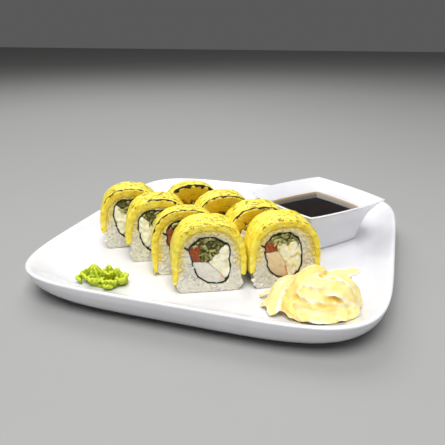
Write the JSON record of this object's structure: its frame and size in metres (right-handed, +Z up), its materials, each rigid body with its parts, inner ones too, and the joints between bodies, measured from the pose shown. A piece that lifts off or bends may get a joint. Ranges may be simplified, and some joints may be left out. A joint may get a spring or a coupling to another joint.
{
  "type": "uramaki platter",
  "caption": "Cheese-topped inside-out sushi roll cut in slices on a square rimmed plate, with a flared soy sauce dish, a wasabi rosette and a heap of pickled ginger.",
  "frame": {"origin": "on the table under the middle of the plate", "axes": "+Z up, -Y towards the plate's near edge, where the front slices stand, +X to the right of someone facing them"},
  "size_m": [0.21, 0.21, 0.0504],
  "materials": {
    "porcelain": "white glazed porcelain, glossy",
    "dish_porcelain": "white glazed porcelain, glossy",
    "soy_sauce": "liquid soy sauce, nearly black, mirror-smooth, amber where it is thin",
    "wasabi_paste": "stiff lime-green paste",
    "pickled_ginger": "thin moist pale yellow slices, translucent",
    "melted_cheese": "melted yellow cheese with a slight gloss, browned in spots",
    "sushi_rice": "cooked short-grain rice, moist",
    "nori_seaweed": "nearly black seaweed sheet",
    "cucumber": "shredded green cucumber, wet",
    "salmon": "orange-brown salmon with pale streaks",
    "crab_stick": "pale crab stick with an orange skin at one edge",
    "cream_cheese": "soft ivory cream cheese"
  },
  "bodies": {
    "root": {"plate": "porcelain", "sauce_dish": "dish_porcelain", "soy_sauce": "soy_sauce", "wasabi": "wasabi_paste", "pickled_ginger": "pickled_ginger", "l1_cheese": "melted_cheese", "l1_rice": "sushi_rice", "l1_nori": "nori_seaweed", "l1_cucumber": "cucumber", "l1_salmon": "salmon", "l1_surimi": "crab_stick", "l1_cream_cheese": "cream_cheese", "l2_cheese": "melted_cheese", "l2_rice": "sushi_rice", "l2_nori": "nori_seaweed", "l2_cucumber": "cucumber", "l2_salmon": "salmon", "l2_surimi": "crab_stick", "l2_cream_cheese": "cream_cheese", "l3_cheese": "melted_cheese", "l3_rice": "sushi_rice", "l3_nori": "nori_seaweed", "l3_cucumber": "cucumber", "l3_salmon": "salmon", "l3_surimi": "crab_stick", "l3_cream_cheese": "cream_cheese", "l4_cheese": "melted_cheese", "l4_rice": "sushi_rice", "l4_nori": "nori_seaweed", "l4_cucumber": "cucumber", "l4_salmon": "salmon", "l4_surimi": "crab_stick", "l4_cream_cheese": "cream_cheese", "r1_cheese": "melted_cheese", "r1_rice": "sushi_rice", "r1_nori": "nori_seaweed", "r1_cucumber": "cucumber", "r1_salmon": "salmon", "r1_surimi": "crab_stick", "r1_cream_cheese": "cream_cheese", "r2_cheese": "melted_cheese", "r2_rice": "sushi_rice", "r2_nori": "nori_seaweed", "r2_cucumber": "cucumber", "r2_salmon": "salmon", "r2_surimi": "crab_stick", "r2_cream_cheese": "cream_cheese", "r3_cheese": "melted_cheese", "r3_rice": "sushi_rice", "r3_nori": "nori_seaweed", "r3_cucumber": "cucumber", "r3_salmon": "salmon", "r3_surimi": "crab_stick", "r3_cream_cheese": "cream_cheese", "r4_cheese": "melted_cheese", "r4_rice": "sushi_rice", "r4_nori": "nori_seaweed", "r4_cucumber_salmon": "cucumber", "r4_surimi": "crab_stick", "r4_cream_cheese": "cream_cheese"}
  },
  "joints": []
}
